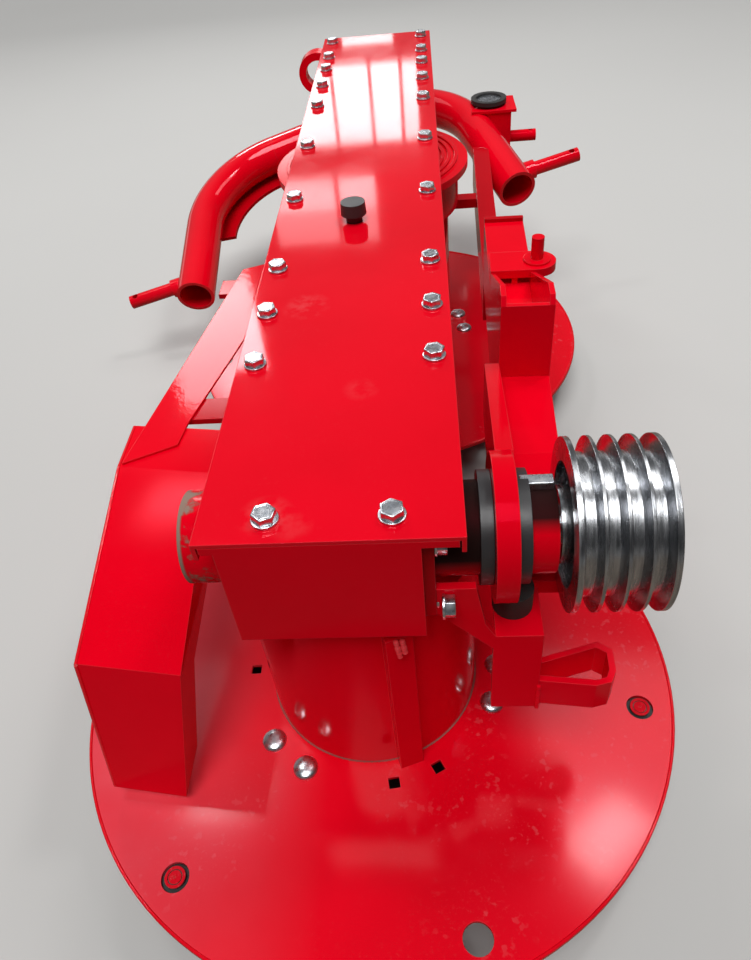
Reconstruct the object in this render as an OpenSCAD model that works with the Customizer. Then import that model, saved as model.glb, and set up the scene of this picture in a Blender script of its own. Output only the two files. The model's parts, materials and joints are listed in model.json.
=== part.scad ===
// Rotary drum mower for a three-point hitch, stored with its carrier folded beside the beam.
// The origin is under the near drum, on the ground. +Y runs along the beam, +X is the pulley side.

/* [Rotors] */
// Distance between the two drum axes
drum_pitch = 788; // [770:1:860]
// Outer diameter of a drum
drum_d = 260; // [220:1:270]
// Height of a drum above its disc
drum_h = 268; // [230:1:270]
// Wall thickness of a drum
drum_wall = 4; // [3:0.5:8]
// Width of a drum's upright rib
rib_w = 28; // [16:1:40]
// How far a rib stands out from its drum
rib_out = 13; // [8:1:14]
// Outer diameter of a cutting disc
disc_d = 752; // [700:1:760]
// Thickness of a cutting disc
disc_t = 5; // [4:0.5:6]
// Drop from the drum foot to the rim of the disc
disc_drop = 13; // [6:1:18]
// Height of the upper rim of the disc above the ground
disc_rim_z = 99; // [94:1:112]
// Radius at which the knives hang
knife_r = 335; // [315:1:340]
// Diameter of the knife pin holes in the disc
knife_hole_d = 32; // [26:1:36]
// Diameter of a knife pin
knife_pin_d = 18; // [14:1:20]
// Length of a knife from its pin to its tip
knife_l = 90; // [70:1:92]
// Width of a knife
knife_w = 46; // [36:1:50]
// Thickness of a knife
knife_t = 4; // [3:0.5:5]
// Outer diameter of a gliding saucer
saucer_d = 480; // [420:2:520]
// Height of the rim of a gliding saucer
saucer_h = 42; // [30:1:50]

/* [Beam] */
// Length of the beam and its lid
beam_l = 1442; // [1400:1:1500]
// How far the beam reaches past the near drum axis
beam_over = 148; // [140:1:156]
// Sideways offset of the beam box under its lid
beam_shift = -10; // [-14:1:0]
// Width of the beam box
beam_w = 172; // [160:1:180]
// Depth of the beam box under its lid
beam_h = 130; // [126:1:136]
// Height of the underside of the beam above the drum tops
beam_gap = 16; // [12:1:20]
// Sheet thickness of the beam
beam_t = 6; // [4:0.5:8]
// Width of the lid
lid_w = 225; // [216:1:232]
// Sheet thickness of the lid
lid_t = 4; // [3:0.5:6]
// Depth of the lid's folded edges
lid_lip = 18; // [12:1:20]

/* [Input] */
// Distance of the input shaft before the near drum axis
input_y = 75; // [70:1:80]
// Depth of the input shaft under the lid's top
input_drop = 69; // [62:1:72]
// Outer diameter of the input housing tube
housing_d = 88; // [80:1:92]
// Diameter of the input shaft
shaft_d = 40; // [30:1:45]
// Diameter of the belt pulley
pulley_d = 160; // [140:1:172]
// Number of belt grooves
grooves = 4; // [3:1:4]
// Distance between belt grooves
groove_pitch = 19; // [19:0.5:21]
// Depth of a belt groove
groove_deep = 14; // [10:0.5:15]

/* [Carrier] */
// Outer diameter of the eye ring
eye_d = 140; // [132:1:146]
// Thickness of the eye ring
eye_t = 20; // [16:1:22]
// Thickness of the arm plate
arm_t = 17; // [12:0.5:19]
// Width of the carrier box
box_w = 59; // [50:1:64]
// Length of the carrier box past the near drum axis
box_l = 582; // [560:1:620]
// Sheet thickness of the carrier
box_t = 5; // [4:0.5:6]
// Width of the tail tube
tail_w = 32; // [28:1:36]
// Height of the tail tube
tail_h = 80; // [60:1:90]

/* [Hitch] */
// Outer diameter of the bent hitch tube
arch_d = 80; // [70:1:82]
// Wall thickness of the hitch tube
arch_t = 7; // [3:0.5:8]
// Bend radius of the hitch tube on the left
arch_bend = 220; // [200:1:225]
// Bend radius of the hitch tube's right elbow
elbow_bend = 190; // [170:1:200]
// Diameter of the lower hitch pins
pin_d = 28; // [22:1:28]
// Free length of the lower hitch pins
pin_l = 104; // [80:1:120]
// Side of the square top link mast
mast_w = 84; // [60:1:90]
// Diameter of the top link pin
mast_pin_d = 25; // [19:1:25]

/* [Guard] */
// Width of the side guard
guard_w = 121; // [110:1:126]
// Sheet thickness of the guard
guard_t = 3; // [2:0.5:4]
// Depth of the guard's outer folded edge
guard_lip = 16; // [12:1:26]
// Depth of the guard's inner side wall
guard_wall = 62; // [40:1:70]

/* [Hidden] */
$fn = 64;

// Clearances
fit = 0.1;
seat = 0.3;
eps = 1;

// Rotor heights
drum_r = drum_d / 2;
disc_r = disc_d / 2;
disc_foot_z = disc_rim_z + disc_drop;
drum_top_z = disc_foot_z + drum_h;
spindle_r = 30;
nose_r = 20;
saucer_hub_z = 61;
spindle_flange_r = 95;
spindle_flange_t = 10;
disc_hub_r = 48;
disc_hub_h = 44;
rib_angles = [-70, 50, 170];
drum_top_t = 8;
knife_angles = [-10, 110, 230];
bolt_r = 158;

// Knife holders hang under the disc
holder_w = 55;
holder_t = 5;
holder_gap = 4;
holder_in = 141;
disc_under_z = disc_foot_z - disc_t;
rim_under_z = disc_rim_z - disc_t;
knife_z = rim_under_z - disc_t - knife_t;
holder_z = knife_z - holder_gap - holder_t;

// Beam faces
near_y = -beam_over;
far_y = beam_l - beam_over;
half_w = beam_w / 2;
left_x = beam_shift - half_w;
right_x = beam_shift + half_w;
beam_z = drum_top_z + beam_gap;
top_z = beam_z + beam_h;
lid_z = top_z + lid_t;
flange_x = lid_w / 2 - lid_t - 1.5;
flange_t = 8;

// Input axis
axis_y = -input_y;
axis_z = lid_z - input_drop;
housing_r = housing_d / 2;
boss_x = left_x - 46;
bush_t = 5;
bush_flange = 12;
eye_x = lid_w / 2 + 25.5;
pulley_x = eye_x + eye_t + 45;
housing_x = pulley_x - 9;
shaft_r = shaft_d / 2;
shaft_in = 60;
pulley_w = (grooves - 1) * groove_pitch + 26;
shaft_x = pulley_x + pulley_w - 4;
hub_r = 36;
hub_x = housing_x + 3;

// Bearing plate on the beam's pulley side
plate_t = 10;
plate_near = axis_y - 55;
plate_far = axis_y + 55;
plate_low = beam_z + 6;

// Stop bracket and buffer under the eye ring
eye_r = eye_d / 2;
buffer_d = 40;
buffer_h = 28;
bracket_t = 8;
bracket_z = axis_z - eye_r - seat - buffer_h;
bracket_y = -128;
bracket_x = eye_x + 1;
bracket_w = 48;
bracket_low = beam_z - 164;

// Carrier, turned a little outwards past the eye ring
carrier_yaw = 1.7;
box_x = eye_x + eye_t + 2;
arm_x = box_x - arm_t;
box_top = axis_z - 26;
box_low = axis_z - 131;
channel_y = 186;
channel_end = 392;
channel_h = 105;
lug_y = 420;
lug_x = box_x + box_w + 5;
lug_r = 26;
lug_t = 12;
lug_z = box_top + 10;
lock_d = 17;
end_t = 8;
tail_x = box_x;
tail_top = box_low + 10;
tail_end = far_y - 164;
latch_x = 146;
latch_y = far_y - 402;

// Hitch frame: a tilted plane behind the beam's far end
hitch_at = [-61, far_y - 334, beam_z - 173];
hitch_turn = [13.7, -10, 11.5];
arch_r = arch_d / 2;
arch_half = 360;
leg_splay = 12;
leg_left = 215;
bend_left = 73.5;
cross_l = 248;
bend_right = 89;
leg_right = 232;
pin_up = 46;
pin_boss_r = 19;
pin_boss_l = 8;
mast_at = [244, far_y - 19];
mast_top = beam_z - 24;
mast_low = beam_z - 130;
ring_r = 39;
ring_h = 14;
ring_foot = 5;
hub_at = [-141, far_y + 41, beam_z + 54];
drive_r = 44;
drive_bore_r = 28;
drive_l = 36;

// Guard on the side away from the pulley
guard_x = -306;
guard_turn = -8;
strip_z = beam_z - 34;
strip_pts = [[-300, 139], [-220, 613], [-150, 640], [-187, 397], [-231, 212], [-236, 170]];
strip_bracket_y = [222, 540];
strip_bracket_l = 44;
guard_low = disc_foot_z + 7;
guard_pts = [[214, strip_z - 0.4], [135, strip_z - 0.4], [-107, strip_z - 62], [-160, guard_low]];

module round_x(r, x0, x1) {
  translate([x0, 0, 0]) rotate([0, 90, 0]) cylinder(r = r, h = x1 - x0);
}

// Places its children on the input shaft's axis
module on_input() {
  translate([0, axis_y, axis_z]) children();
}

// Extrudes an outline drawn in Y and Z from x0 to x1
module plate_x(x0, x1) {
  translate([x0, 0, 0]) rotate([90, 0, 90]) linear_extrude(x1 - x0) children();
}

// Extrudes an outline drawn in X and Z from y0 to y1
module plate_y(y0, y1) {
  translate([0, y1, 0]) rotate([90, 0, 0]) linear_extrude(y1 - y0) children();
}

// ROOT BODY

module beam() {
  color("red") difference() {
    union() {
      translate([left_x, near_y, beam_z]) cube([beam_w, beam_l, beam_h]);
      translate([-flange_x, near_y, top_z - flange_t]) cube([2 * flange_x, beam_l, flange_t]);
    }
    translate([left_x + beam_t, near_y + beam_t, beam_z + beam_t])
      cube([beam_w - 2 * beam_t, beam_l - 2 * beam_t, beam_h]);
    on_input() round_x(housing_r + seat, left_x - eps, right_x + eps);
  }
}

module beam_lid() {
  color("red") union() {
    translate([-lid_w / 2, near_y, top_z]) cube([lid_w, beam_l, lid_t]);
    for (side = [0, 1])
      mirror([side, 0, 0])
        translate([lid_w / 2 - lid_t, near_y, lid_z - lid_lip]) cube([lid_t, beam_l, lid_lip]);
  }
}

module breather() {
  color("black") translate([-5, 418, lid_z]) union() {
    cylinder(r = 11, h = 10);
    translate([0, 0, 10]) cylinder(r1 = 17, r2 = 16, h = 16);
  }
}

module input_housing() {
  color("red") on_input() difference() {
    round_x(housing_r, boss_x, housing_x);
    round_x(housing_r - 8, boss_x - eps, boss_x + 14);
    round_x(shaft_r + fit, shaft_in, housing_x + eps);
  }
}

module bearing_plate() {
  color("darkred") difference() {
    plate_x(right_x, right_x + plate_t)
      translate([plate_near, plate_low])
        square([plate_far - plate_near, top_z - flange_t - plate_low]);
    on_input() round_x(housing_r + seat, right_x - eps, right_x + plate_t + eps);
  }
}

module arm_bushing() {
  color("black") on_input() difference() {
    union() {
      round_x(housing_r + bush_t, eye_x - bush_flange, eye_x + eye_t + bush_flange);
      round_x(housing_r + 9, eye_x - bush_flange, eye_x - seat);
      round_x(housing_r + 9, eye_x + eye_t + seat, eye_x + eye_t + bush_flange);
    }
    round_x(housing_r + fit, eye_x - bush_flange - eps, eye_x + eye_t + bush_flange + eps);
  }
}

module stop_bracket() {
  x0 = right_x + plate_t;
  x1 = bracket_x + bracket_w;
  color("red") union() {
    plate_y(bracket_y, bracket_y + bracket_t) polygon([
      [x0, plate_low], [x0, plate_low + 36], [eye_x - 16, plate_low + 36], [eye_x - 7, bracket_z + 20],
      [bracket_x + 2, bracket_z], [x1, bracket_z], [x1, bracket_low],
      [bracket_x, bracket_low], [bracket_x, bracket_z - 20]
    ]);
    translate([bracket_x + 2, bracket_y, bracket_z - bracket_t])
      cube([x1 - bracket_x - 2, 58, bracket_t]);
  }
}

module stop_buffer() {
  color("black") translate([eye_x + 22, axis_y - 14, bracket_z])
    cylinder(r = buffer_d / 2, h = buffer_h);
}

module tie_eye() {
  x0 = bracket_x + bracket_w;
  color("red") translate([x0, bracket_y, bracket_low]) linear_extrude(44) difference() {
    polygon([[0, 4], [58, -3], [74, 1], [81, 14], [82, 40], [68, 50], [0, 30]]);
    polygon([[-eps, 11], [60, 4], [70, 7], [74, 16], [75, 36], [65, 42.5], [-eps, 23]]);
  }
}

module far_gear_case() {
  case_r = 148;
  cap_r = 165;
  case_z = drum_top_z + 6;
  color("red") translate([0, drum_pitch, 0]) difference() {
    union() {
      translate([0, 0, case_z]) cylinder(r = case_r, h = beam_z + 54 - case_z);
      translate([0, 0, beam_z + 54]) rotate_extrude() polygon([
        [0, 0], [cap_r, 0], [cap_r, 12], [cap_r - 17, 12], [cap_r - 17, 16], [cap_r - 23, 16],
        [cap_r - 23, 12], [cap_r - 29, 12], [cap_r - 29, 16], [cap_r - 34, 16], [cap_r - 34, 12],
        [cap_r - 40, 12], [cap_r - 40, 16], [cap_r - 45, 16], [cap_r - 45, 12], [cap_r - 49, 12],
        [cap_r - 49, 18], [0, 18]
      ]);
    }
    translate([left_x - seat, -cap_r - eps, beam_z - seat])
      cube([beam_w + 2 * seat, 2 * (cap_r + eps), beam_h]);
    translate([0, 0, drum_top_z]) cylinder(r = spindle_flange_r + seat, h = beam_z - drum_top_z);
  }
}

module spindle(at_y) {
  color("gray") translate([0, at_y, 0]) union() {
    translate([0, 0, 10]) cylinder(r = nose_r, h = saucer_hub_z - 10);
    translate([0, 0, saucer_hub_z]) cylinder(r = spindle_r, h = beam_z - saucer_hub_z);
    translate([0, 0, beam_z - spindle_flange_t]) cylinder(r = spindle_flange_r, h = spindle_flange_t);
  }
}

module spindle_near() {
  spindle(0);
}

module spindle_far() {
  spindle(drum_pitch);
}

module guard_outline(deep) {
  polygon([
    guard_pts[0], guard_pts[1], guard_pts[2], guard_pts[3], guard_pts[3] + [deep, 0],
    guard_pts[2] + [deep * 0.8, -deep * 0.8], guard_pts[1] - [0, deep * 0.9], guard_pts[0] - [0, deep * 0.9]
  ]);
}

// The guard's folded form, turned a little about the upright
module guard_form(deep) {
  translate([guard_x, 0, 0]) rotate([0, 0, guard_turn]) translate([-60, 0, 0])
    plate_x(0, guard_w + 120) guard_outline(deep);
}

// An upright cut from x0 to x1, in at the foot by the guard's taper on its inner side
module guard_cut(x0, x1) {
  taper = 30;
  plate_y(-300, 300) polygon([
    [x0, guard_low - eps], [x1 - taper, guard_low - eps], [x1, strip_z - 62], [x1, strip_z + eps],
    [x0, strip_z + eps]
  ]);
}

module guard_panel() {
  inner_x = guard_x + guard_w;
  color("red") union() {
    intersection() {
      guard_form(guard_t);
      guard_cut(guard_x, inner_x);
    }
    intersection() {
      guard_form(guard_lip);
      guard_cut(guard_x, inner_x);
      translate([guard_x, -300, 0]) cube([guard_t, 600, strip_z + eps]);
    }
    intersection() {
      guard_form(guard_wall);
      difference() {
        guard_cut(guard_x, inner_x);
        translate([-guard_t, 0, 0]) guard_cut(guard_x - 20, inner_x);
      }
    }
  }
}

module guard_strip() {
  color("red") translate([0, 0, strip_z]) linear_extrude(guard_t)
    polygon(strip_pts);
}

module guard_brackets() {
  color("darkred")
    for (y = strip_bracket_y)
      plate_y(y, y + strip_bracket_l) polygon([
        [-60, beam_z], [-60, beam_z - 8], [-138, beam_z - 8],
        [-153, strip_z - 8], [-250, strip_z - 8], [-250, strip_z], [-157, strip_z], [-143, beam_z]
      ]);
}

// ROTORS

module drum() {
  color("red") union() {
    translate([0, 0, disc_foot_z]) linear_extrude(drum_h - drum_top_t) difference() {
      union() {
        circle(r = drum_r);
        for (a = rib_angles) rotate(a) translate([0, -rib_w / 2]) square([drum_r + rib_out, rib_w]);
      }
      circle(r = drum_r - drum_wall);
    }
    translate([0, 0, drum_top_z - drum_top_t]) difference() {
      cylinder(r = drum_r, h = drum_top_t);
      translate([0, 0, -eps]) cylinder(r = spindle_r + fit, h = drum_top_t + 2 * eps);
    }
  }
}

module disc() {
  color("red") difference() {
    union() {
      rotate_extrude() polygon([
        [spindle_r + fit, disc_foot_z - disc_hub_h], [disc_hub_r, disc_foot_z - disc_hub_h],
        [disc_hub_r, disc_under_z], [drum_r + 6, disc_under_z], [disc_r, rim_under_z],
        [disc_r, disc_rim_z], [drum_r + 6, disc_foot_z], [spindle_r + fit, disc_foot_z]
      ]);
    }
    for (a = [0:60:300])
      rotate([0, 0, a + knife_angles[0]]) translate([knife_r, 0, rim_under_z - 5])
        cylinder(r = knife_hole_d / 2, h = 20);
    for (a = rib_angles, side = [-1, 1])
      rotate([0, 0, a + side * 10]) translate([bolt_r, 0, rim_under_z])
        translate([-6.5, -6.5, 0]) cube([13, 13, 20]);
  }
}

module knife_holders() {
  color("dimgray") for (a = knife_angles)
    rotate([0, 0, a]) {
      translate([holder_in, -holder_w / 2, holder_z]) cube([knife_r - holder_in, holder_w, holder_t]);
      translate([knife_r, 0, holder_z]) cylinder(r = holder_w / 2, h = holder_t);
      translate([holder_in, -holder_w / 2, holder_z + holder_t - 0.01])
        cube([26, holder_w, disc_under_z - holder_z - holder_t - 2.2]);
      translate([knife_r, 0, holder_z]) cylinder(r = knife_pin_d / 2, h = disc_rim_z - holder_z + 2);
    }
}

module knives() {
  color("silver") for (a = knife_angles)
    rotate([0, 0, a]) translate([knife_r, 0, knife_z]) difference() {
      union() {
        cylinder(r = knife_w / 2, h = knife_t);
        translate([-knife_w / 2, 0, 0]) cube([knife_w, knife_l, knife_t]);
      }
      translate([0, 0, -eps]) cylinder(r = knife_pin_d / 2 + seat, h = knife_t + 2 * eps);
    }
}

module saucer() {
  color("dimgray") rotate_extrude() polygon([
    [0, 0], [saucer_d / 2 - 80, 0], [saucer_d / 2 - 30, 10], [saucer_d / 2, saucer_h],
    [saucer_d / 2 - 6, saucer_h], [saucer_d / 2 - 34, 15], [saucer_d / 2 - 82, 6],
    [62, 6], [56, saucer_hub_z - seat], [nose_r + fit, saucer_hub_z - seat],
    [nose_r + fit, 6], [0, 6]
  ]);
}

module drum_near() {
  drum();
}

module disc_near() {
  disc();
}

module knife_holders_near() {
  knife_holders();
}

module knives_near() {
  knives();
}

module saucer_near() {
  saucer();
}

module drum_far() {
  translate([0, drum_pitch, 0]) mirror([0, 1, 0]) drum();
}

module disc_far() {
  translate([0, drum_pitch, 0]) mirror([0, 1, 0]) disc();
}

module knife_holders_far() {
  translate([0, drum_pitch, 0]) mirror([0, 1, 0]) knife_holders();
}

module knives_far() {
  translate([0, drum_pitch, 0]) mirror([0, 1, 0]) knives();
}

module saucer_far() {
  translate([0, drum_pitch, 0]) saucer();
}

// INPUT SHAFT AND PULLEY

module input_shaft() {
  color("gray") on_input() round_x(shaft_r, shaft_in + eps, shaft_x);
}

module pulley() {
  pulley_r = pulley_d / 2;
  wide = 8;
  narrow = 4.5;
  grooves_top = [for (i = [0:grooves - 1]) 13 + i * groove_pitch];
  rim = [for (c = grooves_top, k = [0:3])
    [[pulley_r, c - wide], [pulley_r - groove_deep, c - narrow],
     [pulley_r - groove_deep, c + narrow], [pulley_r, c + wide]][k]];
  color("silver") on_input() translate([pulley_x, 0, 0]) rotate([0, 90, 0]) rotate_extrude()
    polygon(concat(
      [[pulley_r - 22, 0], [pulley_r, 0]], rim,
      [[pulley_r, pulley_w], [pulley_r - 22, pulley_w], [pulley_r - 22, pulley_w - 30],
       [hub_r, pulley_w - 30], [hub_r, pulley_w - 8], [shaft_r + fit, pulley_w - 8],
       [shaft_r + fit, hub_x - pulley_x], [hub_r, hub_x - pulley_x], [hub_r, 30],
       [pulley_r - 22, 30]]
    ));
}

// CARRIER

// Turns its children with the carrier, about the upright through the eye
module in_carrier() {
  translate([eye_x, axis_y, 0]) rotate([0, 0, -carrier_yaw]) translate([-eye_x, -axis_y, 0]) children();
}

module eye_arm() {
  color("red") difference() {
    union() {
      on_input() round_x(eye_r, eye_x, eye_x + eye_t);
      in_carrier() plate_x(arm_x, box_x) polygon([
        [axis_y + eye_r * 0.7, axis_z + eye_r * 0.71], [channel_y, axis_z - 6],
        [channel_y, axis_z - 80], [axis_y, axis_z - eye_r], [axis_y, axis_z]
      ]);
    }
    on_input() round_x(housing_r + bush_t + fit, eye_x - 20, eye_x + eye_t + 20);
    on_input() round_x(housing_r + 15, eye_x + eye_t, eye_x + eye_t + 20);
    on_input() round_x(housing_r + 15, eye_x - 20, eye_x);
  }
}

module box_outline(inset) {
  polygon([
    [-62 + inset, box_low + 15 + inset], [-62 + inset, box_low + 34 - inset * 0.5],
    [65, box_top - 12 - inset], [channel_y, box_top - inset], [box_l - inset, box_top - inset],
    [box_l - inset, box_low + inset], [-40 + inset, box_low + inset]
  ]);
}

module carrier_box() {
  color("red") in_carrier() difference() {
    plate_x(box_x, box_x + box_w) box_outline(0);
    plate_x(box_x + box_t, box_x + box_w - box_t) box_outline(box_t);
  }
}

module carrier_channel() {
  color("red") in_carrier() union() {
    for (x = [box_x, box_x + box_w - 6])
      plate_x(x, x + 6) polygon([
        [channel_y, box_top], [channel_y, box_top + channel_h - 10],
        [channel_y + 6, box_top + channel_h], [channel_y + 30, box_top + channel_h],
        [channel_end, box_top + 20], [channel_end, box_top]
      ]);
    translate([box_x, channel_y, box_top]) cube([box_w, 6, channel_h - 10]);
  }
}

module box_end() {
  color("darkred") in_carrier() translate([box_x, box_l, tail_top - tail_h])
    cube([box_w, end_t, box_top + 6 - tail_top + tail_h]);
}

module lug_plate() {
  color("red") in_carrier() difference() {
    union() {
      translate([box_x, lug_y - lug_r, lug_z]) cube([lug_x - box_x, 2 * lug_r, lug_t]);
      translate([lug_x, lug_y, lug_z]) cylinder(r = lug_r, h = lug_t);
      for (x = [box_x + 4, box_x + box_w - 30])
        translate([x, lug_y - lug_r + 2, box_top]) cube([8, 2 * lug_r - 4, lug_z - box_top]);
    }
    translate([lug_x, lug_y, lug_z - eps]) cylinder(r = lock_d / 2 + fit, h = lug_t + 2 * eps);
  }
}

module lock_pin() {
  color("red") in_carrier() translate([lug_x, lug_y, 0]) union() {
    translate([0, 0, box_top + 0.5]) cylinder(r = lock_d / 2, h = lug_z - box_top - 0.5 + lug_t + 34);
    translate([0, 0, lug_z + lug_t]) cylinder(r = 18.5, h = 3);
  }
}

module carrier_tail() {
  wall = 4;
  color("darkred") difference() {
    in_carrier() translate([tail_x, box_l + end_t, tail_top - tail_h]) difference() {
      cube([tail_w, tail_end - box_l - end_t, tail_h]);
      translate([wall, -eps, wall])
        cube([tail_w - 2 * wall, tail_end - box_l + 2 * eps, tail_h - 2 * wall]);
    }
    at_right_leg() leg_form(leg_right);
  }
}

module latch_bar() {
  color("darkred") difference() {
    translate([latch_x, latch_y, tail_top - 24]) cube([tail_x + tail_w - latch_x, 26, 18]);
    in_carrier() translate([tail_x, box_l, tail_top - tail_h])
      cube([tail_w + 20, tail_end - box_l, tail_h + 20]);
  }
}

// HITCH FRAME

module in_hitch() {
  translate(hitch_at) rotate(hitch_turn) children();
}

// Places its children at the far end of a right hand bend
module past_bend(angle, radius) {
  translate([radius, 0, 0]) rotate([0, 0, -angle]) translate([-radius, 0, 0]) children();
}

module at_left_leg() {
  in_hitch() translate([-arch_half, 0, 0]) rotate([0, 0, -leg_splay]) children();
}

module at_bow() {
  at_left_leg() translate([0, leg_left, 0]) past_bend(bend_left, arch_bend) children();
}

module at_right_leg() {
  at_bow() translate([0, cross_l, 0]) past_bend(bend_right, elbow_bend) children();
}

// A straight tube along +Y
module straight(l) {
  rotate([-90, 0, 0]) difference() {
    cylinder(r = arch_r, h = l);
    translate([0, 0, -eps]) cylinder(r = arch_r - arch_t, h = l + 2 * eps);
  }
}

// A tube that bends to the right from +Y
module elbow(angle, radius) {
  translate([radius, 0, 0]) rotate([0, 0, 180 - angle]) rotate_extrude(angle = angle)
    translate([radius, 0]) difference() {
      circle(r = arch_r);
      circle(r = arch_r - arch_t);
    }
}

// The outer form of a straight leg, for what is welded to it
module leg_form(l) {
  translate([0, -eps, 0]) rotate([-90, 0, 0]) cylinder(r = arch_r + seat, h = l + 2 * eps);
}

module arch_left() {
  color("red") at_left_leg() union() {
    straight(leg_left);
    translate([0, leg_left, 0]) elbow(bend_left, arch_bend);
  }
}

module arch_bow() {
  color("red") at_bow() straight(cross_l);
}

module arch_right() {
  color("red") at_bow() translate([0, cross_l, 0]) union() {
      elbow(bend_right, elbow_bend);
      past_bend(bend_right, elbow_bend) straight(leg_right);
    }
}

module arch_gusset() {
  inner = arch_bend - 58;
  color("darkred") at_left_leg() translate([arch_bend, leg_left, -arch_r - seat - 8])
    rotate([0, 0, 180 - bend_left]) rotate_extrude(angle = bend_left)
      translate([inner, 0]) square([70, 8]);
}

module hitch_pins() {
  color("red") difference() {
    in_hitch() translate([0, pin_up, 0]) for (side = [-1, 1])
      translate([side * arch_half, 0, 0]) rotate([0, side * 90, 0]) {
        cylinder(r = pin_boss_r, h = arch_r + pin_boss_l);
        translate([0, 0, arch_r + pin_boss_l]) cylinder(r = pin_d / 2, h = pin_l - pin_boss_l);
      }
    at_left_leg() leg_form(leg_left);
    at_right_leg() leg_form(leg_right);
    in_hitch() for (side = [-1, 1])
      translate([side * (arch_half + arch_r + pin_l - 14), pin_up, -30]) cylinder(r = 6, h = 60);
  }
}

module top_mast() {
  wall = 5;
  color("red") difference() {
    translate([mast_at[0], mast_at[1], 0]) difference() {
      union() {
        translate([-mast_w / 2, -mast_w / 2, mast_low]) cube([mast_w, mast_w, mast_top - mast_low]);
        translate([-mast_w / 2 - 3, -mast_w / 2 - 3, mast_top]) cube([mast_w + 14, mast_w + 6, 6]);
      }
      translate([wall - mast_w / 2, wall - mast_w / 2, mast_low - eps])
        cube([mast_w - 2 * wall, mast_w - 2 * wall, mast_top - mast_low + eps]);
    }
    at_right_leg() translate([0, -90, 0]) leg_form(leg_right + 90);
  }
}

// A cup whose narrow foot stands clear of the elbow beside it
module mast_ring() {
  foot_r = ring_r - 14;
  rim_r = ring_r - 11;
  color("black") translate([mast_at[0] - 5, mast_at[1], mast_top + 6]) rotate_extrude()
    polygon([
      [0, 0], [foot_r, 0], [foot_r, ring_foot], [ring_r, ring_foot], [ring_r, ring_h], [rim_r, ring_h],
      [rim_r, ring_h - 5], [0, ring_h - 5]
    ]);
}

module mast_pin() {
  color("red") translate([mast_at[0] + mast_w / 2, mast_at[1], mast_low + 38]) difference() {
    rotate([0, 90, 0]) cylinder(r = mast_pin_d / 2, h = 61);
    translate([49, 0, -30]) cylinder(r = 5, h = 60);
  }
}

module drive_hub() {
  color("red") translate(hub_at) rotate([-90, 0, 0]) difference() {
    cylinder(r = drive_r, h = drive_l);
    translate([0, 0, -eps]) cylinder(r = drive_bore_r, h = drive_l + 2 * eps);
  }
}

module hub_plate() {
  low_z = beam_z - 51;
  color("darkred") difference() {
    plate_x(hub_at[0] - 6, hub_at[0] + 6) polygon([
      [hub_at[1] - 6, low_z], [hub_at[1], hub_at[2]], [hub_at[1] + drive_l, hub_at[2]],
      [hub_at[1] + drive_l + 10, low_z]
    ]);
    translate(hub_at) rotate([-90, 0, 0]) translate([0, 0, -100])
      cylinder(r = drive_r + seat, h = drive_l + 200);
    at_bow() leg_form(cross_l);
  }
}

beam();
beam_lid();
breather();
input_housing();
bearing_plate();
arm_bushing();
stop_bracket();
stop_buffer();
tie_eye();
far_gear_case();
spindle_near();
spindle_far();
guard_panel();
guard_strip();
guard_brackets();
drum_near();
disc_near();
knife_holders_near();
knives_near();
saucer_near();
drum_far();
disc_far();
knife_holders_far();
knives_far();
saucer_far();
input_shaft();
pulley();
eye_arm();
carrier_box();
carrier_channel();
box_end();
lug_plate();
lock_pin();
carrier_tail();
latch_bar();
arch_left();
arch_bow();
arch_right();
arch_gusset();
hitch_pins();
top_mast();
mast_ring();
mast_pin();
drive_hub();
hub_plate();
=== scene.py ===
"""The looks of a red drum mower: its paint, bare metal, bolts, welds and the fine pieces on its solids."""
import json
import math

import bpy
from mathutils import Matrix, Vector


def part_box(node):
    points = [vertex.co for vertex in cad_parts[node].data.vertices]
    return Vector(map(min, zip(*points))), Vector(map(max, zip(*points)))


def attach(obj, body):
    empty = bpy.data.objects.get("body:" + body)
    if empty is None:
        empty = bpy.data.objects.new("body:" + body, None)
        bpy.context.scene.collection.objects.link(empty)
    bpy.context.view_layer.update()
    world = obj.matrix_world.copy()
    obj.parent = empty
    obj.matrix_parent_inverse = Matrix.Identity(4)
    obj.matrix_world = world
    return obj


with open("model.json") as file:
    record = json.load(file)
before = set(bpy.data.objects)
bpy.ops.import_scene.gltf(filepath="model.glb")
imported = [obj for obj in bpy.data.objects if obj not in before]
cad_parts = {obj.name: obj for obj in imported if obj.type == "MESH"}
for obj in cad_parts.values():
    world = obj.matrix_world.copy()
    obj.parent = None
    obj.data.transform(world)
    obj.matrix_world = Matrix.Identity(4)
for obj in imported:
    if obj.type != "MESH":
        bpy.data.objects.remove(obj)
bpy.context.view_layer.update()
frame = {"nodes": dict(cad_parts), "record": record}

NODES = frame["nodes"]
MM = 0.001

# Camera: its place and directions in the machine's own frame, its lens and film in millimetres
CAMERA_AT = Vector((0.0901, -0.5523, 0.9879))
CAMERA_AIM = Vector((-0.079, 0.716, -0.693))
CAMERA_RIGHT = Vector((0.996, 0.030, -0.083))
CAMERA_LENS = 28.78
CAMERA_FILM = 36.0

# Places and sizes that several pieces share
LID_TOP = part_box("beam_lid")[1].z
INPUT_AXIS = (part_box("input_shaft")[0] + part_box("input_shaft")[1]) / 2
DRUM_PITCH = (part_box("disc_far")[0].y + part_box("disc_far")[1].y) / 2
HEX_ACROSS = 19 * MM
WASHER_R = 12 * MM
KNIFE_TURNS = (-130, -10, 110)
# Columns: body, disc, drum, the drum's place along Y, and the hand of the knives
ROTORS = (
    ("near_rotor", "disc_near", "drum_near", 0.0, 1),
    ("far_rotor", "disc_far", "drum_far", DRUM_PITCH, -1),
)


# Small helpers

def deselect():
    bpy.ops.object.select_all(action="DESELECT")


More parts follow.
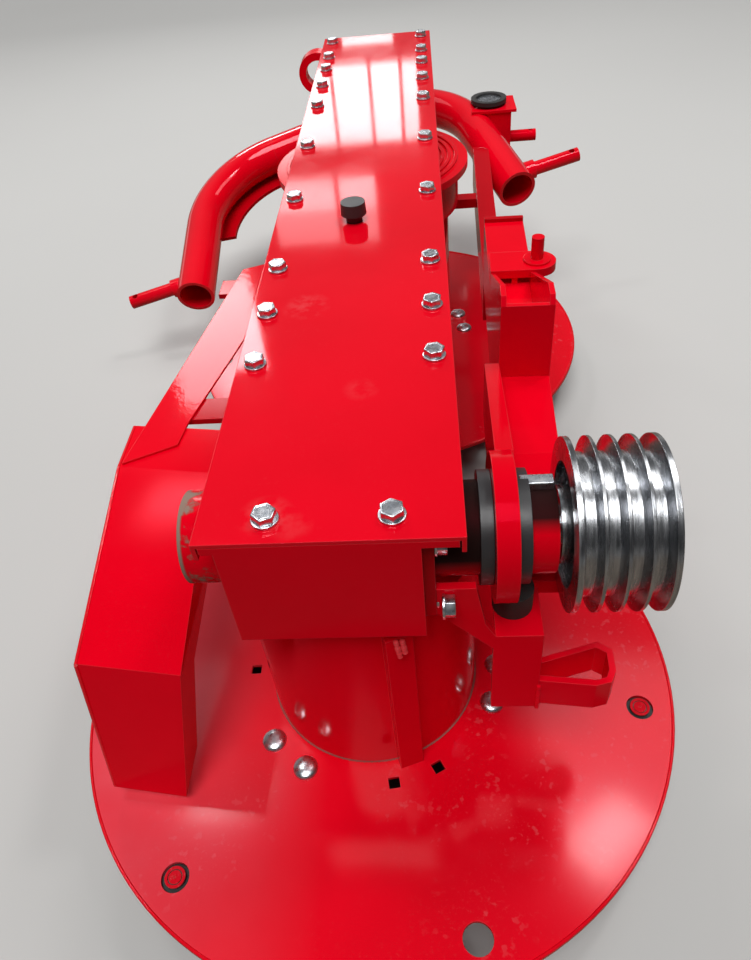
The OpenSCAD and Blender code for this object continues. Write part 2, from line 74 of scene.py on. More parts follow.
def only(piece):
    """Makes piece the one selected and active object."""
    deselect()
    piece.select_set(True)
    bpy.context.view_layer.objects.active = piece


def bake_place(piece):
    """Moves the piece's place, turn and size into its mesh."""
    only(piece)
    bpy.ops.object.transform_apply(location=True, rotation=True, scale=True)


def apply_modifiers(piece):
    only(piece)
    for modifier in list(piece.modifiers):
        bpy.ops.object.modifier_apply(modifier=modifier.name)


def joined(pieces, name):
    """Joins the pieces into one mesh under a new name."""
    deselect()
    for piece in pieces:
        piece.select_set(True)
    bpy.context.view_layer.objects.active = pieces[0]
    if len(pieces) > 1:
        bpy.ops.object.join()
    result = bpy.context.view_layer.objects.active
    result.name = name
    result.data.name = name
    return result


def placed_copy(pattern, place):
    """A copy of the pattern with its own mesh, put where the matrix says."""
    copy = pattern.copy()
    copy.data = pattern.data.copy()
    bpy.context.scene.collection.objects.link(copy)
    copy.data.transform(place)
    return copy


def pointing(at, direction, turn=0.0):
    """A matrix that puts +Z along direction, at a place, after a turn about Z."""
    aim = Vector(direction).normalized().to_track_quat("Z", "Y").to_matrix().to_4x4()
    return Matrix.Translation(Vector(at)) @ aim @ Matrix.Rotation(turn, 4, "Z")


def dress(piece, body, material):
    """Gives the piece its material and slot, and sets it on the body that carries it."""
    piece.data.materials.clear()
    piece.data.materials.append(material)
    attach(piece, body)
    return piece


def smooth(piece, angle):
    """Smooth shading across edges flatter than the angle, in degrees."""
    only(piece)
    bpy.ops.object.shade_smooth_by_angle(angle=math.radians(angle))


# Materials

EDGE_R = 1.4 * MM
BUMP_DEPTH = 0.3 * MM
EDGE_WEAR_AND_HIGHLIGHT_TONE = (0.90, 0.22, 0.22)
DUST_TONE = (0.70, 0.40, 0.38)
CHALK_TONE = (0.75, 0.12, 0.14)
SMEAR_TONE = (0.78, 0.16, 0.17)
DUST_AND_SHEEN_TONE = (0.80, 0.20, 0.25)
DARK_TOP_TONE = (0.012, 0.007, 0.006)
RUST_TONE = (0.26, 0.19, 0.15)


def new_material(name):
    material = bpy.data.materials.new(name)
    material.use_nodes = True
    tree = material.node_tree
    shader = tree.nodes["Principled BSDF"]
    return material, tree, shader


def add(tree, kind, **settings):
    node = tree.nodes.new(kind)
    for key, value in settings.items():
        setattr(node, key, value)
    return node


def noise(tree, scale, detail=3.0, roughness=0.5, stretch=(1, 1, 1)):
    """A noise over the piece's own coordinates."""
    place = add(tree, "ShaderNodeTexCoord")
    mapping = add(tree, "ShaderNodeMapping")
    mapping.inputs["Scale"].default_value = stretch
    texture = add(tree, "ShaderNodeTexNoise")
    texture.inputs["Scale"].default_value = scale
    texture.inputs["Detail"].default_value = detail
    texture.inputs["Roughness"].default_value = roughness
    tree.links.new(place.outputs["Object"], mapping.inputs["Vector"])
    tree.links.new(mapping.outputs["Vector"], texture.inputs["Vector"])
    return texture.outputs["Fac"]


def spread(tree, value, low, high, to_low=0.0, to_high=1.0):
    """Maps low..high to to_low..to_high and stays inside it."""
    node = add(tree, "ShaderNodeMapRange")
    node.inputs["From Min"].default_value = low
    node.inputs["From Max"].default_value = high
    node.inputs["To Min"].default_value = to_low
    node.inputs["To Max"].default_value = to_high
    tree.links.new(value, node.inputs["Value"])
    return node.outputs["Result"]


def times(tree, a, b):
    node = add(tree, "ShaderNodeMath", operation="MULTIPLY")
    for socket, value in zip(node.inputs, (a, b)):
        if isinstance(value, (int, float)):
            socket.default_value = value
        else:
            tree.links.new(value, socket)
    return node.outputs["Value"]


def plus(tree, a, b):
    node = add(tree, "ShaderNodeMath", operation="ADD", use_clamp=True)
    tree.links.new(a, node.inputs[0])
    tree.links.new(b, node.inputs[1])
    return node.outputs["Value"]


def along(tree, axis):
    """The piece's own coordinate along one axis, in metres."""
    place = add(tree, "ShaderNodeTexCoord")
    split = add(tree, "ShaderNodeSeparateXYZ")
    tree.links.new(place.outputs["Object"], split.inputs["Vector"])
    return split.outputs[axis]


def blend_colour(tree, factor, first, second):
    node = add(tree, "ShaderNodeMix", data_type="RGBA")
    tree.links.new(factor, node.inputs["Factor"])
    for socket, value in ((node.inputs[6], first), (node.inputs[7], second)):
        if isinstance(value, tuple):
            socket.default_value = (*value, 1.0)
        else:
            tree.links.new(value, socket)
    return node.outputs[2]


def rounded_normal(tree, radius):
    """Softens sharp edges in the shading by a small radius."""
    bevel = add(tree, "ShaderNodeBevel", samples=6)
    bevel.inputs["Radius"].default_value = radius
    return bevel.outputs["Normal"]


def edge_mask(tree, radius):
    """1 on sharp edges and 0 on flat faces."""
    bevel = rounded_normal(tree, radius)
    geometry = add(tree, "ShaderNodeNewGeometry")
    dot = add(tree, "ShaderNodeVectorMath", operation="DOT_PRODUCT")
    tree.links.new(bevel, dot.inputs[0])
    tree.links.new(geometry.outputs["Normal"], dot.inputs[1])
    return spread(tree, dot.outputs["Value"], 1.0, 0.9)


def bumped(tree, shader, height, strength, edge_radius):
    """Gives the shader fine relief from height, over edges softened by a small radius."""
    bump = add(tree, "ShaderNodeBump")
    bump.inputs["Strength"].default_value = strength
    bump.inputs["Distance"].default_value = BUMP_DEPTH
    tree.links.new(height, bump.inputs["Height"])
    tree.links.new(rounded_normal(tree, edge_radius), bump.inputs["Normal"])
    tree.links.new(bump.outputs["Normal"], shader.inputs["Normal"])


def smear(tree, x, y, reach, strength):
    """A ragged worn patch around one spot of a flat top."""
    place = add(tree, "ShaderNodeTexCoord")
    distance = add(tree, "ShaderNodeVectorMath", operation="DISTANCE")
    level = add(tree, "ShaderNodeVectorMath", operation="MULTIPLY")
    level.inputs[1].default_value = (1, 1, 0)
    distance.inputs[1].default_value = (x, y, 0)
    tree.links.new(place.outputs["Object"], level.inputs[0])
    tree.links.new(level.outputs["Vector"], distance.inputs[0])
    near = spread(tree, distance.outputs["Value"], 0.45 * reach, reach, strength, 0.0)
    return times(tree, near, spread(tree, noise(tree, 60.0, 4.0), 0.42, 0.60))


def left_dust_and_sheen(tree):
    """A pale film over the disc's left side, growing towards the left: partly dust, partly a painted sheen."""
    side = spread(tree, along(tree, "X"), -0.05, -0.28, 0.0, 0.34)
    return times(tree, side, spread(tree, noise(tree, 9.0, 5.0), 0.30, 0.70, 0.6, 1.0))


def housing_dark_top_and_rust(tree):
    """Darker colour on the housing's upper side, and worn and rusty patches on its free left end."""
    height, across = along(tree, "Z"), along(tree, "X")
    middle = times(tree, spread(tree, across, 0.04, 0.05), spread(tree, across, 0.142, 0.146, 1.0, 0.0))
    crown = times(tree, middle, spread(tree, height, INPUT_AXIS.z - 0.022, INPUT_AXIS.z + 0.004))
    outer = times(tree, spread(tree, across, 0.142, 0.146),
                  spread(tree, height, INPUT_AXIS.z + 0.026, INPUT_AXIS.z + 0.036))
    worn = times(tree, spread(tree, across, -0.10, -0.11), spread(tree, noise(tree, 38.0, 5.0, 0.6), 0.51, 0.60))
    ends = plus(tree, worn, spread(tree, across, -0.1375, -0.1395))
    cover = plus(tree, plus(tree, crown, outer), ends)
    tone = blend_colour(tree, ends, DARK_TOP_TONE, RUST_TONE)
    return cover, tone


def paint(name, colour, deep, dust=0.0, rough=0.10, edge=0.12, spots=0.0, stain=None, marks=(), veil=None,
          peel=0.06, peel_scale=230.0, coat=0.0, coat_rough=0.03, level=0.15, tint=(1.0, 0.03, 0.10)):
    """Sprayed gloss paint with faint clouding, edges lightened partly as wear and partly as a painted highlight,
    chalky spots and some dust.

    stain and veil are functions that build a cover over the paint, marks are smears on a flat top,
    peel is the orange peel, and tint colours the sheen, which keeps the red saturated.
    """
    material, tree, shader = new_material(name)
    clouds = spread(tree, noise(tree, 5.0, 4.0), 0.35, 0.7)
    base = blend_colour(tree, clouds, colour, deep)
    # Sharp edges turn pale pink: partly worn paint, partly a painted highlight.
    edge_wear_and_highlight = times(tree, edge_mask(tree, EDGE_R), edge)
    base = blend_colour(tree, edge_wear_and_highlight, base, EDGE_WEAR_AND_HIGHLIGHT_TONE)
    patches = spread(tree, noise(tree, 7.0, 5.0, 0.6), 0.42, 0.75)
    specks = spread(tree, noise(tree, 260.0, 6.0, 0.75), 0.56, 0.72)
    dirt = times(tree, times(tree, patches, specks), dust)
    base = blend_colour(tree, dirt, base, DUST_TONE)
    if spots:
        drops = spread(tree, noise(tree, 105.0, 2.0), 0.60, 0.67)
        where = spread(tree, noise(tree, 6.5, 2.0), 0.54, 0.66)
        base = blend_colour(tree, times(tree, times(tree, drops, where), spots), base, CHALK_TONE)
    for mark in marks:
        base = blend_colour(tree, smear(tree, *mark), base, SMEAR_TONE)
    if veil:
        base = blend_colour(tree, veil(tree), base, DUST_AND_SHEEN_TONE)
    haze = spread(tree, noise(tree, 14.0, 6.0, 0.65), 0.3, 0.75, rough, rough + 0.04 + 0.25 * dust)
    if stain:
        cover, stain_colour = stain(tree)
        base = blend_colour(tree, cover, base, stain_colour)
        haze = spread(tree, cover, 0.0, 0.6, rough, 0.55)
    tree.links.new(base, shader.inputs["Base Color"])
    tree.links.new(haze, shader.inputs["Roughness"])
    shader.inputs["Coat Weight"].default_value = coat
    shader.inputs["Coat Roughness"].default_value = coat_rough
    shader.inputs["Specular IOR Level"].default_value = level
    shader.inputs["Specular Tint"].default_value = (*tint, 1.0)
    bumped(tree, shader, noise(tree, peel_scale, 2.0), peel, EDGE_R)
    return material


def metal(name, colour, dark, rough, grain=(1, 1, 1), grain_scale=60.0, bump=0.1, edge_radius=0.0008):
    """Bare metal with a grain that may be stretched along one axis."""
    material, tree, shader = new_material(name)
    streaks = spread(tree, noise(tree, grain_scale, 5.0, 0.6, grain), 0.35, 0.7)
    tree.links.new(blend_colour(tree, streaks, colour, dark), shader.inputs["Base Color"])
    tree.links.new(
        spread(tree, noise(tree, grain_scale * 0.6, 4.0, 0.6, grain), 0.3, 0.7, rough, rough + 0.18),
        shader.inputs["Roughness"],
    )
    shader.inputs["Metallic"].default_value = 1.0
    bumped(tree, shader, noise(tree, grain_scale * 4, 3.0, 0.5, grain), bump, edge_radius)
    return material


def dull(name, colour, deep, rough, bump_scale=300.0, bump=0.2, edge_radius=0.001):
    """Rubber, plastic or satin black paint."""
    material, tree, shader = new_material(name)
    tree.links.new(blend_colour(tree, noise(tree, 30.0, 4.0), colour, deep), shader.inputs["Base Color"])
    tree.links.new(
        spread(tree, noise(tree, 40.0, 4.0), 0.3, 0.7, rough, rough + 0.12), shader.inputs["Roughness"]
    )
    bumped(tree, shader, noise(tree, bump_scale, 3.0), bump, edge_radius)
    return material


RED = (0.80, 0.0004, 0.012)
DEEP_RED = (0.71, 0.0003, 0.009)
MATERIALS = {
    "red_paint": paint("red_paint", RED, DEEP_RED, dust=0.03),
    "dark_red_paint": paint("shaded_red_paint", (0.52, 0.0004, 0.007), (0.44, 0.0003, 0.005), dust=0.03),
    "black_paint": dull("black_paint", (0.018, 0.018, 0.019), (0.03, 0.028, 0.026), 0.38),
    "machined_steel": metal("turned_steel", (0.60, 0.61, 0.63), (0.32, 0.33, 0.35), 0.16, (12, 1, 1), 40.0),
    "knife_steel": metal("knife_steel", (0.50, 0.50, 0.51), (0.30, 0.29, 0.28), 0.28, (1, 6, 1)),
    "spring_steel": dull("spring_steel", (0.055, 0.052, 0.05), (0.03, 0.028, 0.027), 0.4),
    "black_plastic": dull("black_plastic", (0.020, 0.020, 0.022), (0.032, 0.032, 0.033), 0.34),
    "black_rubber": dull("black_rubber", (0.015, 0.015, 0.015), (0.028, 0.027, 0.026), 0.55, 200.0, 0.35),
}
ZINC = metal("zinc_plate", (0.74, 0.76, 0.79), (0.48, 0.52, 0.58), 0.20, (1, 1, 1), 180.0, 0.15, 0.0005)
DUSTY_RED = paint("dusty_red_paint", RED, DEEP_RED, dust=0.10, rough=0.20, spots=0.3, level=0.3, veil=left_dust_and_sheen,
                  coat=0.28, coat_rough=0.12, tint=(1.0, 0.10, 0.20))
# Columns: x and y in metres, reach, strength
LID_MARKS = (
    (-0.053, -0.118, 0.026, 0.2), (-0.03, -0.13, 0.02, 0.1),
    (-0.05, 0.21, 0.03, 0.2), (0.02, 0.05, 0.02, 0.1),
)
LID_RED = paint("lid_red_paint", RED, DEEP_RED, dust=0.04, rough=0.045, marks=LID_MARKS, peel=0.03, coat=0.1,
                level=0.5)
GLOSS_RED = paint("gloss_red_paint", RED, DEEP_RED, dust=0.05, rough=0.07, coat=0.5, level=0.5)
PIN_RED = paint("pin_red_paint", (0.66, 0.002, 0.010), (0.50, 0.002, 0.008), dust=0.4)
GUARD_RED = paint("guard_red_paint", RED, DEEP_RED, dust=0.03, rough=0.06, peel=0.30, peel_scale=110.0,
                  level=0.25)
DRUM_RED = paint("drum_red_paint", RED, DEEP_RED, dust=0.05, rough=0.07, level=0.25)
WELD_DUST = dull("dusty_weld", (0.36, 0.15, 0.13), (0.30, 0.01, 0.01), 0.6)
# The rib's weld beads take a pinker red as a painted highlight.
WELD_HIGHLIGHT_RED = paint("weld_red_paint", (0.85, 0.06, 0.07), RED, rough=0.16, coat=0.6, level=0.6)
# The guard's rolled edge takes the pale pink edge tone strongly, as a painted highlight.
EDGE_HIGHLIGHT_RED = paint("edge_red_paint", RED, DEEP_RED, edge=0.6, coat=0.8, level=0.6)
HOUSING_RED = paint("stained_red_paint", RED, DEEP_RED, dust=0.1, stain=housing_dark_top_and_rust)


def finish_cad_nodes():
    """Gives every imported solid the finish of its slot, or its own where the photograph shows one."""
    slots = {row["node"]: row["material_slot"] for row in frame["record"]["subparts"]}
    own = {
        "disc_near": DUSTY_RED, "disc_far": DUSTY_RED, "drum_near": DRUM_RED, "drum_far": DRUM_RED,
        "input_housing": HOUSING_RED, "beam_lid": LID_RED, "guard_strip": GUARD_RED,
        "arch_left": GLOSS_RED, "arch_bow": GLOSS_RED, "arch_right": GLOSS_RED, "hitch_pins": GLOSS_RED,
    }
    for name, node in NODES.items():
        node.data.materials.clear()
        node.data.materials.append(own.get(name, MATERIALS[slots[name]]))
        smooth(node, 30)


# Fasteners

def bevelled(piece, width):
    """Rounds the piece's sharp edges."""
    modifier = piece.modifiers.new("edge", "BEVEL")
    modifier.width = width
    modifier.segments = 2
    modifier.limit_method = "ANGLE"
    modifier.angle_limit = math.radians(40)
    apply_modifiers(piece)


def cylinder(radius, height, vertices=32):
    """A cylinder that stands on z = 0."""
    deselect()
    bpy.ops.mesh.primitive_cylinder_add(vertices=vertices, radius=radius, depth=height,
                                        location=(0, 0, height / 2))
    piece = bpy.context.object
    bake_place(piece)
    return piece


def edit_ends(piece, bottom_too=False):
    """Opens the mesh for editing with its top face selected, or its top and bottom."""
    bpy.ops.object.mode_set(mode="EDIT")
    bpy.ops.mesh.select_mode(type="FACE")
    bpy.ops.mesh.select_all(action="DESELECT")
    bpy.ops.object.mode_set(mode="OBJECT")
    for face in piece.data.polygons:
        face.select = face.normal.z > 0.9 or (bottom_too and face.normal.z < -0.9)
    bpy.ops.object.mode_set(mode="EDIT")


def ring(outer, inner, height):
    """A flat ring that stands on z = 0."""
    piece = cylinder(outer, height)
    edit_ends(piece, bottom_too=True)
    bpy.ops.mesh.inset(thickness=outer - inner, depth=0)
    bpy.ops.mesh.bridge_edge_loops()
    bpy.ops.object.mode_set(mode="OBJECT")
    return piece


def hex_head(height):
    """A hexagon head with chamfered corners and a shallow dish in its top."""
    head = cylinder(HEX_ACROSS / math.sqrt(3), height, vertices=6)
    edit_ends(head)
    for inward, upward in ((0.05, 0.02), (0.06, 0), (0.03, -0.02)):
        bpy.ops.mesh.inset(thickness=HEX_ACROSS * inward, depth=HEX_ACROSS * upward)
    bpy.ops.object.mode_set(mode="OBJECT")
    bevelled(head, HEX_ACROSS * 0.02)
    return head


def hex_bolt(head_height=7.5 * MM, washer_height=2.5 * MM):
    """A hexagon bolt head on its washer, standing on z = 0."""
    washer = ring(WASHER_R, HEX_ACROSS * 0.30, washer_height)
    bevelled(washer, 0.4 * MM)
    head = hex_head(head_height)
    head.data.transform(Matrix.Translation((0, 0, washer_height)))
    bolt = joined([washer, head], "bolt_pattern")
    smooth(bolt, 30)
    return bolt


def dome_bolt(radius=15 * MM, height=6 * MM, collar=1.5 * MM, steps=6):
    """A round coach bolt head on a thin collar, standing on z = 0."""
    dome = cylinder(radius, collar)
    edit_ends(dome)
    for step in range(1, steps):
        last, now = (math.pi / 2 * s / steps for s in (step - 1, step))
        bpy.ops.mesh.inset(
            thickness=radius * (math.cos(last) - math.cos(now)),
            depth=height * (math.sin(now) - math.sin(last)),
        )
    bpy.ops.object.mode_set(mode="OBJECT")
    smooth(dome, 50)
    return dome


def many(pattern, places, name, body, material):
    """Copies the pattern to each place, joins the copies to one piece and removes the pattern."""
    piece = joined([placed_copy(pattern, place) for place in places], name)
    bpy.data.objects.remove(pattern)
    dress(piece, body, material)


def on_disc(top, centre_y, hand, radius, angle):
    """A place on a disc's upper side, at an angle in degrees that the hand turns with."""
    turn = math.radians(angle)
    at = (radius * math.cos(turn), centre_y + hand * radius * math.sin(turn), top)
    return pointing(at, (0, 0, 1))


def cover_bolts():
    """The hexagon bolts that hold the lid down, in two rows and a near pair."""
    row_x = 93 * MM
    rows_y = (100, 197, 298, 494, 687, 872, 980, 1075, 1152, 1255)
    pair_x, pair_y = 53 * MM, -122 * MM
    places = [(x, y * MM) for y in rows_y for x in (-row_x, row_x)] + [(-pair_x, pair_y), (pair_x, pair_y)]
    turns = (0.1, 0.7, 0.35, 0.95, 0.5, 0.2, 0.85)
    matrices = [
        pointing((x, y, LID_TOP), (0, 0, 1), turns[i % len(turns)]) for i, (x, y) in enumerate(places)
    ]
    many(hex_bolt(), matrices, "cover_bolts", "beam_unit", ZINC)


def plate_bolts():
    """The bolts that hold the bearing plate to the beam."""
    low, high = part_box("bearing_plate")
    inset, upper = 13 * MM, 87 * MM
    places = [
        pointing((high.x, y, z), (1, 0, 0), 0.3)
        for y in (low.y + inset, high.y - inset)
        for z in (low.z + inset, low.z + upper)
    ]
    many(hex_bolt(8.5 * MM, 2.5 * MM), places, "bearing_plate_bolts", "beam_unit", ZINC)


def disc_bolts():
    """Round bolt heads on both discs, in pairs over the inner ends of the knife holders."""
    circle_r, half_pair, sunk = 158 * MM, 10, 1.4 * MM
    for body, disc, _, centre_y, hand in ROTORS:
        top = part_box(disc)[1].z - sunk
        places = [
            on_disc(top, centre_y, hand, circle_r, knife + side)
            for knife in KNIFE_TURNS for side in (-half_pair, half_pair)
        ]
        many(dome_bolt(), places, disc + "_bolts", body, ZINC)


def weld(name, points, width, body, material):
    """A row of overlapping weld beads along a path."""
    deselect()
    bpy.ops.mesh.primitive_uv_sphere_add(segments=10, ring_count=6, radius=1.0, location=(0, 0, 0))
    pattern = bpy.context.object
    smooth(pattern, 60)
    pitch = width * 0.55
    places = []
    for start, end in zip(points, points[1:]):
        start, end = Vector(start), Vector(end)
        count = max(1, round((end - start).length / pitch))
        for step in range(count):
            number = len(places)
            at = start.lerp(end, step / count)
            grown = width / 2 * (1.0 + 0.10 * math.sin(number * 2.3) + 0.06 * math.sin(number * 5.1))
            size = Matrix.Diagonal((grown, grown, grown * 0.62, 1.0))
            places.append(pointing(at, end - start) @ size)
    many(pattern, places, name, body, material)


def circle(centre, radius, axis, steps=72):
    """Points of a closed circle about an axis."""
    frame_of_circle = pointing(centre, axis)
    turns = [2 * math.pi * i / steps for i in range(steps + 1)]
    return [frame_of_circle @ Vector((radius * math.cos(turn), radius * math.sin(turn), 0)) for turn in turns]


def welds():
    """Weld beads at the joints that show."""
    foot_r, foot_lift, foot_width, seam_width, stroke_width = 130.5 * MM, 0.5 * MM, 2.8 * MM, 5 * MM, 6 * MM
    red = MATERIALS["red_paint"]
    for body, _, drum, centre_y, _ in ROTORS:
        foot = circle((0, centre_y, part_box(drum)[0].z + foot_lift), foot_r, (0, 0, 1))
        weld("weld_" + drum, foot, foot_width, body, WELD_DUST)
    low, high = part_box("hub_plate")
    for side, x in enumerate((low.x, high.x)):
        seam = [(x, low.y + 12 * MM, high.z), (x, high.y - 8 * MM, high.z)]
        weld("weld_hub_%d" % side, seam, seam_width, "carrier", red)
    low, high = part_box("tie_eye")
    seam_y = low.y + 2 * MM
    weld("weld_tie_eye", [(low.x, seam_y, low.z), (low.x, seam_y, high.z)], seam_width, "beam_unit", red)
    strokes = (((46, -139, 374), (49, -139, 346)), ((52, -138, 374), (54, -138, 352)))
    for number, stroke in enumerate(strokes):
        path = [Vector(end) * MM for end in stroke]
        weld("weld_rib_%d" % number, path, stroke_width, "near_rotor", WELD_HIGHLIGHT_RED)


def small_parts():
    """The steel key bar beside the ring, and the clamp bolt at the stop bracket's root."""
    bar_at, bar_size = (177 * MM, -68 * MM, 509 * MM), (30 * MM, 12 * MM, 9 * MM)
    bolt_at = (91 * MM, -136 * MM, 424 * MM)
    deselect()
    bpy.ops.mesh.primitive_cube_add(size=1, location=bar_at, scale=bar_size)
    bar = bpy.context.object
    bake_place(bar)
    bar.name = "housing_bar"
    bevelled(bar, 1.2 * MM)
    dress(bar, "beam_unit", ZINC)
    many(hex_bolt(9 * MM), [pointing(bolt_at, (1, 0, 0), 0.4)], "clamp_bolt", "beam_unit", ZINC)


def disc_trim():
    """The rolled rim of each disc, and the painted heads of its knife pins, each in a dark ring of painted
    shade.
    """
    rim_r, rim_drop = 2.0 * MM, 13 * MM
    pin_circle, pin_drop, shade_ring_drop = 335 * MM, 11.3 * MM, 5 * MM
    for body, disc, _, centre_y, hand in ROTORS:
        low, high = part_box(disc)
        deselect()
        bpy.ops.mesh.primitive_torus_add(
            major_segments=160, minor_segments=8, major_radius=(high.x - low.x) / 2 - rim_r,
            minor_radius=rim_r, location=(0, centre_y, high.z - rim_drop),
        )
        rim = bpy.context.object
        bake_place(rim)
        rim.name = disc + "_rim"
        smooth(rim, 60)
        dress(rim, body, GLOSS_RED)
        places = [on_disc(high.z - pin_drop, centre_y, hand, pin_circle, knife) for knife in KNIFE_TURNS]
        many(pin_head(), places, disc + "_pin_heads", body, PIN_RED)
        # A black ring under each pin head paints the shade in the gap between pin and hole.
        below = [Matrix.Translation((0, 0, -shade_ring_drop)) @ place for place in places]
        shade_ring = ring(15.7 * MM, 9.2 * MM, 1.2 * MM)
        many(shade_ring, below, disc + "_pin_shade_ring", body, MATERIALS["black_rubber"])


def pin_head():
    """A flat round pin head with a groove and a centre dimple, standing on z = 0."""
    head = ring(11.8 * MM, 8.4 * MM, 1.8 * MM)
    middle = cylinder(7.4 * MM, 1.6 * MM)
    edit_ends(middle)
    bpy.ops.mesh.inset(thickness=5.8 * MM, depth=0)
    bpy.ops.mesh.inset(thickness=0.4 * MM, depth=-0.8 * MM)
    bpy.ops.object.mode_set(mode="OBJECT")
    return joined([head, middle], "pin_pattern")


def mast_plate():
    """The bright plate inside the mast's black ring."""
    low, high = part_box("mast_ring")
    centre = (low + high) / 2
    plate_r, plate_h, sunk = 27.6 * MM, 1.0 * MM, 4.5 * MM
    deselect()
    bpy.ops.mesh.primitive_cylinder_add(vertices=40, radius=plate_r, depth=plate_h,
                                        location=(centre.x, centre.y, high.z - sunk))
    plate = bpy.context.object
    bake_place(plate)
    plate.name = "mast_plate"
    dress(plate, "carrier", ZINC)


def guard_edge():
    """The rolled outer edge of the guard's sheet."""
    edge_r = 2.2 * MM
    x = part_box("guard_panel")[0].x + 1.5 * MM
    path = [Vector((x, y * MM, z * MM)) for y, z in ((-160, 121), (-109, 299), (135, 361), (214, 361))]
    tubes = []
    for start, end in zip(path, path[1:]):
        deselect()
        bpy.ops.mesh.primitive_cylinder_add(vertices=12, radius=edge_r, depth=(end - start).length)
        tube = bpy.context.object
        tube.data.transform(pointing((start + end) / 2, end - start))
        tubes.append(tube)
    edge = joined(tubes, "guard_edge")
    smooth(edge, 40)
    dress(edge, "beam_unit", EDGE_HIGHLIGHT_RED)


# Floor, light and camera

def floor():
    """A pale floor that throws as little light back on the machine as dark boards do."""
    deselect()
    bpy.ops.mesh.primitive_plane_add(size=14, location=(0, 1.5, 0))
    ground = bpy.context.object
    bake_place(ground)
    ground.name = "studio_floor"
    material, tree, shader = new_material("studio_floor")
    tone = blend_colour(tree, noise(tree, 0.8, 3.0), (0.55, 0.545, 0.53), (0.51, 0.505, 0.49))
    path = add(tree, "ShaderNodeLightPath")
    seen = blend_colour(tree, path.outputs["Is Camera Ray"], (0.17, 0.14, 0.11), tone)
    tree.links.new(seen, shader.inputs["Base Color"])
    shader.inputs["Roughness"].default_value = 0.9
    ground.data.materials.append(material)


def area_lamp(name, at, aim, size, power, turn=0.0):
    """A rectangular lamp that faces the point aim."""
    lamp = bpy.data.lights.new(name, "AREA")
    lamp.shape = "RECTANGLE"
    lamp.size, lamp.size_y = size
    lamp.energy = power
    holder = bpy.data.objects.new(name, lamp)
    bpy.context.scene.collection.objects.link(holder)
    holder.matrix_world = pointing(at, Vector(at) - Vector(aim), turn)
    return holder


def light():
    """A broad soft sun from the near end, weak lamps over the sides, and the panes that the lid mirrors."""
    sun = bpy.data.lights.new("main_light", "SUN")
    sun.energy = 2.2
    sun.angle = math.radians(30)
    holder = bpy.data.objects.new("main_light", sun)
    bpy.context.scene.collection.objects.link(holder)
    holder.matrix_world = pointing((0, 0, 3), (-0.04, -0.38, 0.93))
    area_lamp("left_light", (-1.6, 1.65, 3.2), (-1.6, 1.65, 0), (1.3, 1.0), 7)
    area_lamp("right_light", (1.4, 1.25, 3.2), (1.4, 1.25, 0), (1.0, 1.7), 20)
    area_lamp("left_glint", (-1.30, 0.94, 3.15), (-1.30, 0.94, 0), (0.42, 0.24), 9)
    area_lamp("right_glint", (1.12, 0.75, 3.15), (1.12, 0.75, 0), (0.50, 0.24), 11, 0.77)
    panes_y = 4.0
    # Columns: left, right, low, high, radiance
    lid_panes = (
        (-0.85, -0.41, 1.34, 1.75, 6.0), (-0.39, -0.20, 1.34, 1.75, 6.0), (-0.18, -0.03, 1.34, 1.75, 6.0),
        (-0.01, 0.07, 1.34, 1.75, 5.0), (-0.85, -0.46, 1.95, 2.14, 4.5), (-0.43, -0.21, 1.95, 2.14, 4.5),
        (-0.85, -0.46, 2.14, 2.36, 2.0), (-0.43, -0.21, 2.14, 2.36, 2.0), (-0.32, -0.05, 1.19, 1.24, 5.0),
    )
    for number, (left, right, low, high, radiance) in enumerate(lid_panes):
        pane("lid_pane_%d" % number, (left, right), panes_y, (low, high), radiance)
    pane("guard_pane", (-1.8, -1.1), panes_y, (2.2, 3.3), 14.0)


def pane(name, x_span, y, z_span, radiance):
    """An upright bright panel that faces the machine's near end."""
    width, height = x_span[1] - x_span[0], z_span[1] - z_span[0]
    at = (sum(x_span) / 2, y, sum(z_span) / 2)
    lamp = area_lamp(name, at, (at[0], 0, at[2]), (width, height), radiance * math.pi * width * height)
    lamp.visible_camera = False


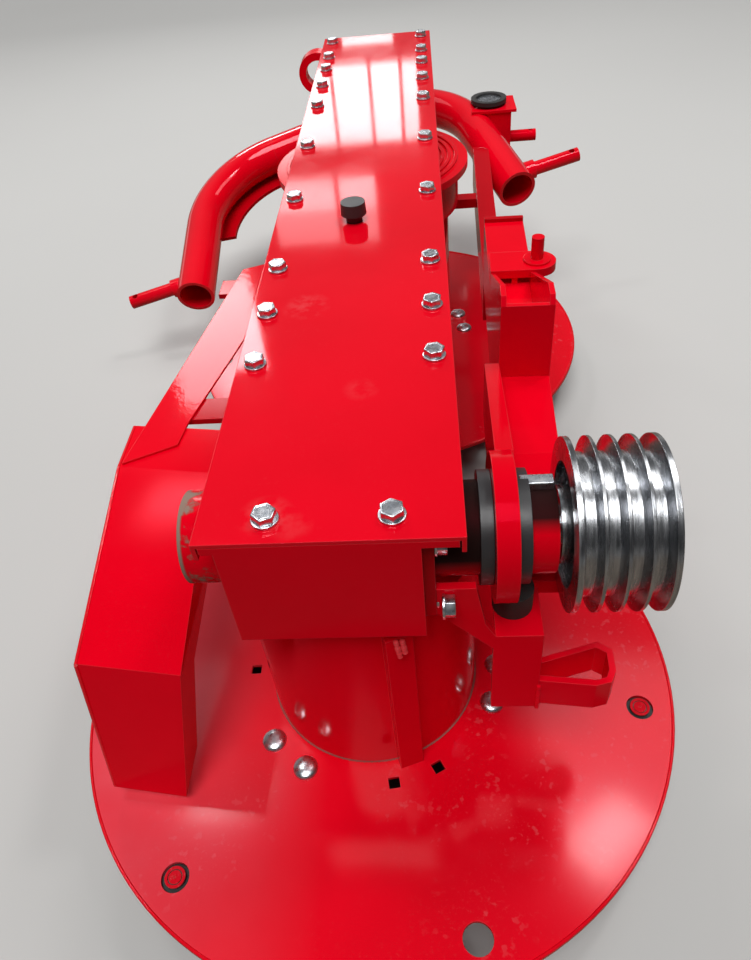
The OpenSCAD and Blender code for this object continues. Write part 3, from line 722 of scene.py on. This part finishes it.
def backdrop():
    """The grey surroundings that the paint and metal mirror, with an even pale tone for the camera."""
    world = bpy.data.worlds.new("studio")
    bpy.context.scene.world = world
    world.use_nodes = True
    tree = world.node_tree
    place = add(tree, "ShaderNodeTexCoord")
    split = add(tree, "ShaderNodeSeparateXYZ")
    ramp = add(tree, "ShaderNodeValToRGB")
    stops = ramp.color_ramp.elements
    stops[0].position, stops[0].color = 0.0, (0.80, 0.80, 0.79, 1)
    stops[1].position, stops[1].color = 1.0, (0.34, 0.34, 0.35, 1)
    for position, grey in ((0.08, 0.60), (0.20, 0.14)):
        stop = stops.new(position)
        stop.color = (grey, grey, grey, 1)
    tree.links.new(place.outputs["Generated"], split.inputs["Vector"])
    tree.links.new(split.outputs["Z"], ramp.inputs["Fac"])
    far_side = spread(tree, split.outputs["Y"], 0.1, 0.6, 0.32, 1.0)
    strength = times(tree, far_side, spread(tree, split.outputs["X"], -0.1, 0.6, 1.0, 0.28))
    to_camera = add(tree, "ShaderNodeLightPath").outputs["Is Camera Ray"]
    seen = blend_colour(tree, to_camera, ramp.outputs["Color"], (0.62, 0.62, 0.61))
    tree.links.new(seen, tree.nodes["Background"].inputs["Color"])
    tree.links.new(plus(tree, strength, to_camera), tree.nodes["Background"].inputs["Strength"])


def camera():
    """The camera of the photograph."""
    data = bpy.data.cameras.new("photo_camera")
    data.sensor_fit = "VERTICAL"
    data.sensor_height = CAMERA_FILM
    data.lens = CAMERA_LENS
    data.clip_start = 0.02
    holder = bpy.data.objects.new("photo_camera", data)
    bpy.context.scene.collection.objects.link(holder)
    back = -CAMERA_AIM.normalized()
    right = (CAMERA_RIGHT - back * CAMERA_RIGHT.dot(back)).normalized()
    up = back.cross(right)
    turn = Matrix((right, up, back)).transposed().to_4x4()
    holder.matrix_world = Matrix.Translation(CAMERA_AT) @ turn
    bpy.context.scene.camera = holder


camera()
finish_cad_nodes()
cover_bolts()
plate_bolts()
disc_bolts()
welds()
small_parts()
guard_edge()
disc_trim()
mast_plate()
floor()
light()
backdrop()

bpy.context.scene.view_settings.view_transform = "Standard"
